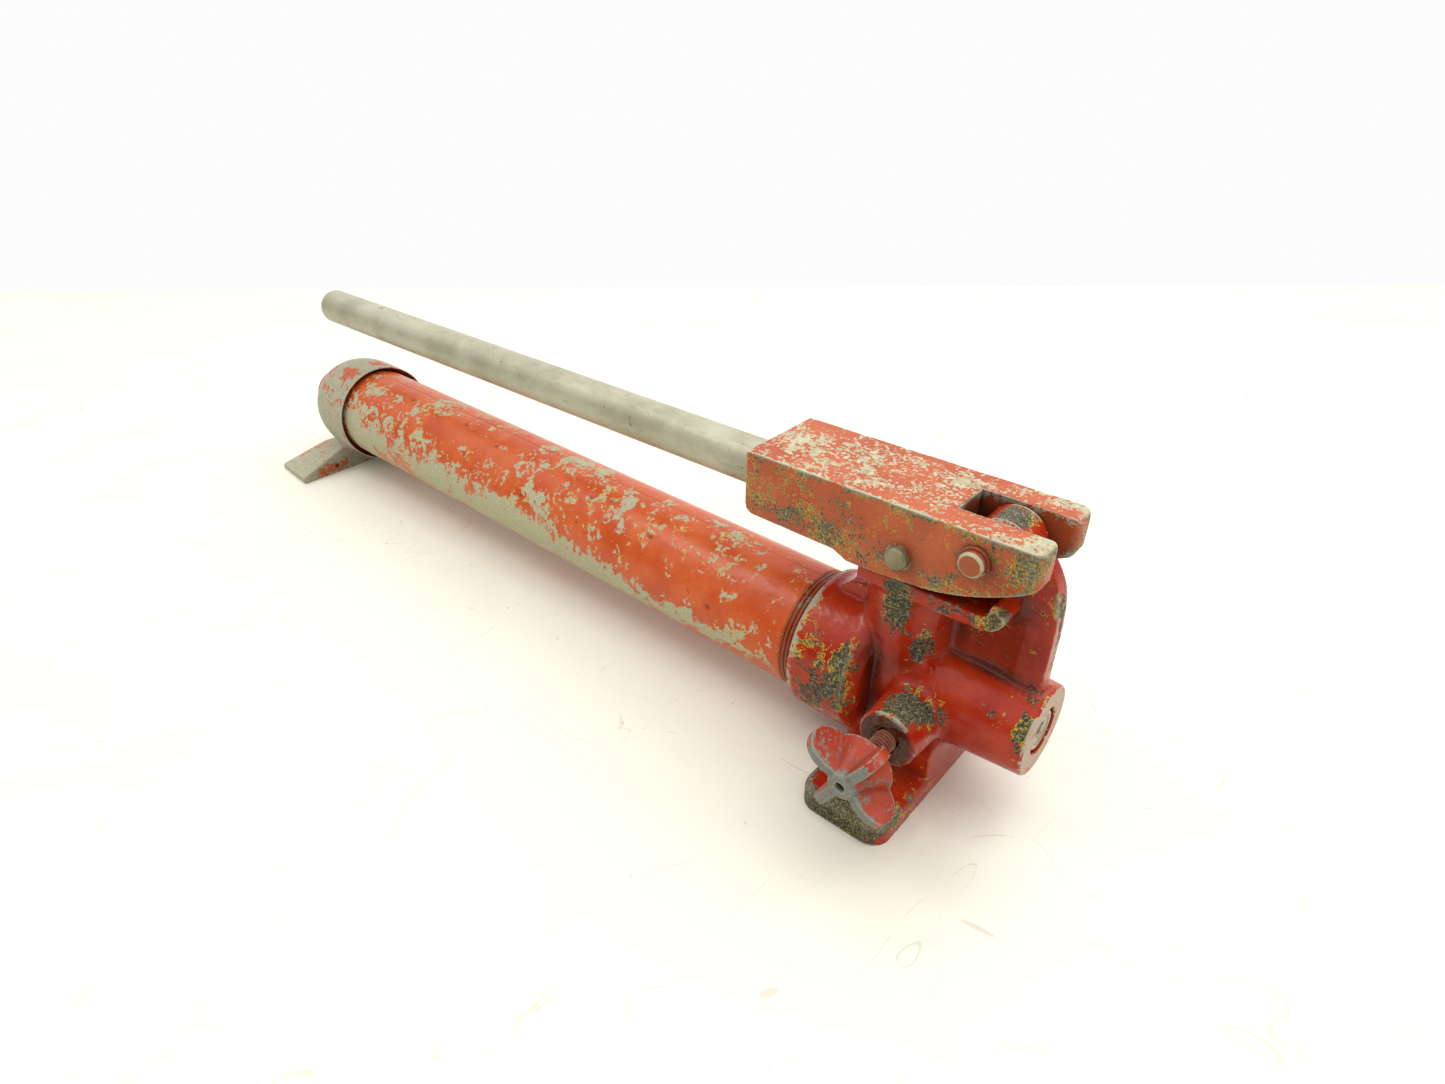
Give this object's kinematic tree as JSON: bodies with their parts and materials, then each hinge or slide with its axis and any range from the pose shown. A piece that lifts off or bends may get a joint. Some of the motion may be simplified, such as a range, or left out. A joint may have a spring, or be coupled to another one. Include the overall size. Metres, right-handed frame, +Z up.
{
  "type": "hydraulic hand pump",
  "caption": "Lever-operated hydraulic hand pump: cast body with foot, long pipe reservoir with domed rear cap and foot, bar handle, vertical plunger and wing-knob release valve.",
  "frame": {"origin": "on the floor under the front foot, in line with its two bolt holes, in the plane of symmetry", "axes": "+X along the reservoir towards the outlet port, +Y away from the release knob, +Z up"},
  "size_m": [0.5581, 0.1393, 0.1387],
  "materials": {
    "body_enamel": "glossy brick-red enamel over a cast body, chipped to a yellow coat and dark rough iron",
    "tube_enamel": "orange-red enamel scuffed through to yellow and grey-green steel in broad worn patches",
    "lever_enamel": "satin orange-red enamel, rubbed pale on the edges, with yellow and bare steel showing",
    "plug_enamel": "red enamel with bare steel on its rim",
    "cap_casting": "bare grey-green casting with spots of red paint left",
    "knob_zinc": "bare die-cast zinc with red paint left in its hollows",
    "bar_steel": "dull grey-olive drawn bar with small dark marks",
    "pin_steel": "worn steel with a film of red paint on the ends",
    "stem_steel": "threaded steel with red paint in the threads",
    "plunger_steel": "ground and polished steel",
    "gland_steel": "dull steel with red overspray",
    "plug_steel": "bright turned steel with a dark socket",
    "bearing_steel": "bright hardened steel",
    "spring_steel": "dark spring steel",
    "brass_fittings": "dull brass",
    "seal_rubber": "matt black seal rubber"
  },
  "bodies": {
    "pump": {"pump_body": "body_enamel", "reservoir_tube": "tube_enamel", "body_seal_ring": "seal_rubber", "rear_cap": "cap_casting", "cap_seal_ring": "seal_rubber", "fill_plug_gasket": "seal_rubber", "intake_tube": "brass_fittings", "intake_strainer": "brass_fittings", "inlet_ball_retainer": "bearing_steel", "outlet_check_spring": "spring_steel", "outlet_spring_retainer": "bearing_steel", "outlet_port_plug": "plug_steel", "relief_spring": "spring_steel", "relief_adjusting_screw": "bearing_steel", "release_ball": "bearing_steel", "release_stem_seal": "seal_rubber", "plunger_packing": "seal_rubber", "packing_backup_washer": "brass_fittings", "gland_nut": "gland_steel"},
    "lever": {"lever_block": "lever_enamel", "handle_rod": "bar_steel", "handle_roll_pin": "spring_steel", "fulcrum_pin": "pin_steel", "plunger_pin": "pin_steel", "fulcrum_ring_near": "spring_steel", "fulcrum_ring_far": "spring_steel"},
    "plunger": {"plunger": "plunger_steel"},
    "release_valve": {"release_stem": "stem_steel", "release_knob": "knob_zinc"},
    "filler": {"fill_plug": "plug_enamel"},
    "inlet_ball": {"inlet_check_ball": "bearing_steel"},
    "outlet_ball": {"outlet_check_ball": "bearing_steel"},
    "relief_valve_ball": {"relief_ball": "bearing_steel"}
  },
  "joints": [
    {"name": "lever_swing", "type": "hinge", "parent": "pump", "child": "lever", "pos_m": [0.0215, 0, 0.127], "axis": [0, 1, 0], "range_deg": [0, 38]},
    {"name": "plunger_stroke", "type": "slide", "parent": "pump", "child": "plunger", "axis": [0, 0, 1], "range_m": [0, 0.0216]},
    {"name": "release_turn", "type": "hinge", "parent": "pump", "child": "release_valve", "pos_m": [0.0063, -0.077, 0.0415], "axis": [0, -1, 0], "range_deg": [0, 360]},
    {"name": "fill_plug_turn", "type": "hinge", "parent": "pump", "child": "filler", "pos_m": [-0.5, 0, 0.0415], "axis": [-1, 0, 0], "range_deg": [0, 360]},
    {"name": "inlet_ball_lift", "type": "slide", "parent": "pump", "child": "inlet_ball", "axis": [0, 0, 1], "range_m": [0, 0.001]},
    {"name": "outlet_ball_lift", "type": "slide", "parent": "pump", "child": "outlet_ball", "axis": [1, 0, 0], "range_m": [0, 0.001], "stiffness_N_per_m": 300, "springref_m": -0.002, "deforming": ["outlet_check_spring"]},
    {"name": "relief_ball_lift", "type": "slide", "parent": "pump", "child": "relief_valve_ball", "axis": [-1, 0, 0], "range_m": [0, 0.0008], "stiffness_N_per_m": 600, "springref_m": -0.002, "deforming": ["relief_spring"]}
  ],
  "couplings": [
    {"joint": "plunger_stroke", "follows": "lever_swing", "m_per_rad": 0.0322}
  ]
}
